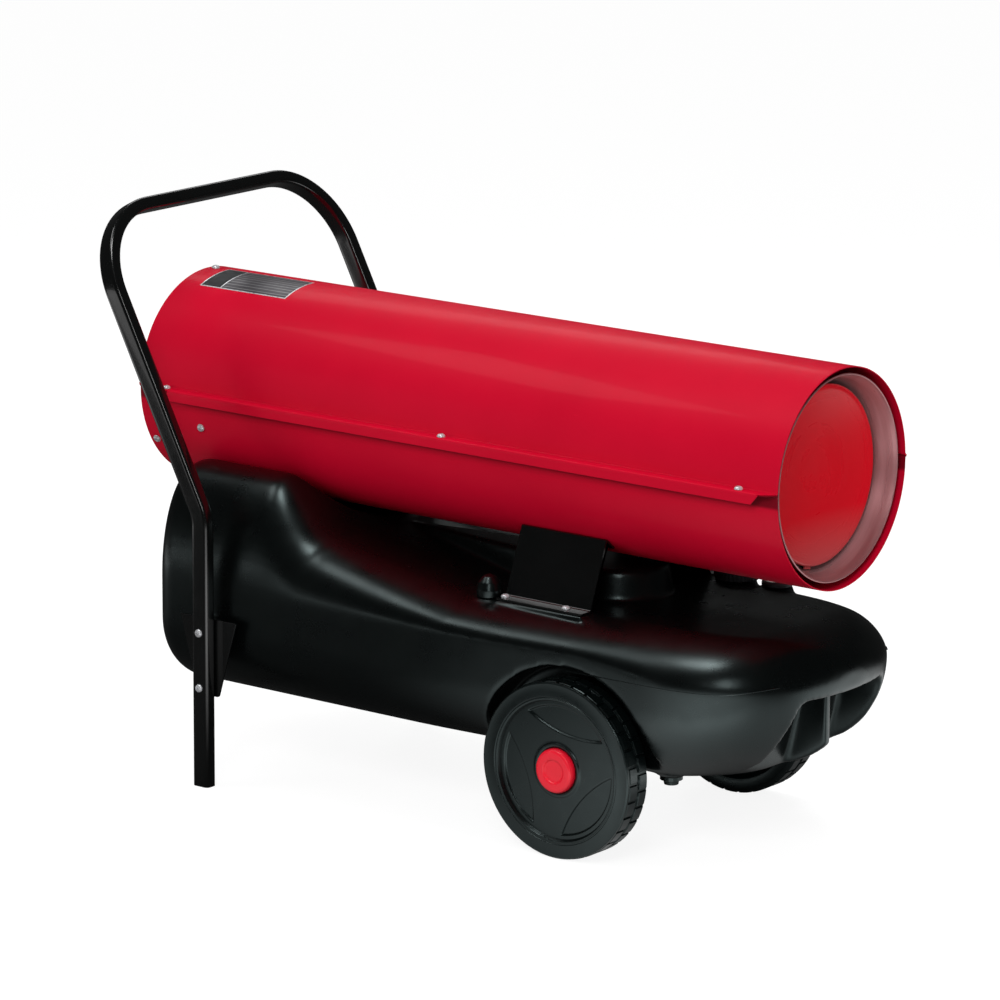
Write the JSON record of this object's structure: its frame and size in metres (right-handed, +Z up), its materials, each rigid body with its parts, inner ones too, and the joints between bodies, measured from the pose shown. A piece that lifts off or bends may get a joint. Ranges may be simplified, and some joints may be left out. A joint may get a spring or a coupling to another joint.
{
  "type": "forced air heater",
  "caption": "Portable forced air heater: a round sheet-metal burner tube carried on a moulded fuel tank, with wheels at the front and a bent-tube handle whose legs stand at the rear.",
  "frame": {"origin": "on the floor, under the centre of the bounding box", "axes": "+X out of the hot-air outlet, +Y to the control box side, +Z up"},
  "size_m": [1.1662, 0.547, 0.815],
  "materials": {
    "red_shell": "smooth gloss powder coat, deep red",
    "tank_black": "blow-moulded polyethylene, semi-gloss black",
    "wheel_black": "moulded, satin black",
    "frame_black": "gloss black paint",
    "red_plastic": "moulded, glossy bright red",
    "dark_plastic": "moulded, satin",
    "black_rubber": "smooth matt rubber",
    "zinc": "bright zinc plate",
    "liner_steel": "plain sheet steel that mirrors the red shell",
    "plain_steel": "plain steel",
    "cast_aluminium": "as cast",
    "brass": "machined",
    "ceramic": null
  },
  "bodies": {
    "heater": {"fuel_tank": "tank_black", "filler_strainer": "plain_steel", "fuel_gauge": "dark_plastic", "breather_cap": "tank_black", "pickup_fitting": "brass", "drain_plug": "tank_black", "fuel_hose": "black_rubber", "air_hose": "black_rubber", "upper_shell": "red_shell", "lower_shell": "red_shell", "outlet_cone": "liner_steel", "combustion_chamber": "plain_steel", "flame_baffle": "red_shell", "burner_head": "plain_steel", "fuel_nozzle": "brass", "ignition_electrodes": "ceramic", "photocell": "dark_plastic", "fan_motor": "frame_black", "motor_mount": "plain_steel", "air_pump": "cast_aluminium", "air_filter_cover": "dark_plastic", "fan_guard": "frame_black", "ignition_transformer": "dark_plastic", "control_box": "frame_black", "cable_gland": "dark_plastic", "handle_frame": "frame_black", "rear_cradle_pad": "black_rubber", "axle": "plain_steel", "saddle_bracket_near": "frame_black", "leg_bracket_near": "frame_black", "hub_cap_near": "red_plastic", "seam_screw_near_1": "zinc", "seam_screw_near_2": "zinc", "seam_screw_near_3": "zinc", "saddle_screw_near_1": "zinc", "leg_screw_near_1": "zinc", "saddle_screw_near_2": "zinc", "leg_screw_near_2": "zinc", "saddle_bracket_far": "frame_black", "leg_bracket_far": "frame_black", "hub_cap_far": "red_plastic", "seam_screw_far_1": "zinc", "seam_screw_far_2": "zinc", "seam_screw_far_3": "zinc", "saddle_screw_far_1": "zinc", "leg_screw_far_1": "zinc", "saddle_screw_far_2": "zinc", "leg_screw_far_2": "zinc", "motor_screw_near": "zinc", "guard_screw_near": "zinc", "guard_screw_top": "zinc"},
    "near_wheel": {"wheel_near": "wheel_black"},
    "far_wheel": {"wheel_far": "wheel_black"},
    "fan_rotor": {"motor_shaft": "plain_steel", "fan": "cast_aluminium"},
    "filler_seal": {"filler_gasket": "black_rubber"},
    "filler_closure": {"filler_cap": "dark_plastic"},
    "thermostat": {"thermostat_knob": "dark_plastic"},
    "rocker": {"power_switch": "red_plastic"},
    "reset": {"reset_button": "red_plastic"}
  },
  "joints": [
    {"name": "near_wheel_spin", "type": "hinge", "parent": "heater", "child": "near_wheel", "pos_m": [0.25133, -0.207, 0.125], "axis": [0, 1, 0], "continuous": true},
    {"name": "far_wheel_spin", "type": "hinge", "parent": "heater", "child": "far_wheel", "pos_m": [0.25133, 0.207, 0.125], "axis": [0, 1, 0], "continuous": true},
    {"name": "fan_spin", "type": "hinge", "parent": "heater", "child": "fan_rotor", "pos_m": [-0.33267, 0, 0.538], "axis": [1, 0, 0], "continuous": true},
    {"name": "filler_cap_lift", "type": "slide", "parent": "heater", "child": "filler_seal", "axis": [0, 0, 1], "range_m": [0, 0.007]},
    {"name": "filler_cap_turn", "type": "hinge", "parent": "filler_seal", "child": "filler_closure", "pos_m": [0.28333, 0.15, 0.345], "axis": [0, 0, 1], "range_deg": [0, 360]},
    {"name": "thermostat_turn", "type": "hinge", "parent": "heater", "child": "thermostat", "pos_m": [-0.44867, 0.2, 0.49], "axis": [0, -1, 0], "range_deg": [0, 270]},
    {"name": "power_rock", "type": "hinge", "parent": "heater", "child": "rocker", "pos_m": [-0.40367, 0.196, 0.49], "axis": [1, 0, 0], "range_deg": [0, 16]},
    {"name": "reset_press", "type": "slide", "parent": "heater", "child": "reset", "axis": [0, -1, 0], "range_m": [0, 0.003], "stiffness_N_per_m": 400, "springref_m": -0.001}
  ],
  "couplings": [
    {"joint": "filler_cap_lift", "follows": "filler_cap_turn", "m_per_rad": 0.00095493}
  ]
}
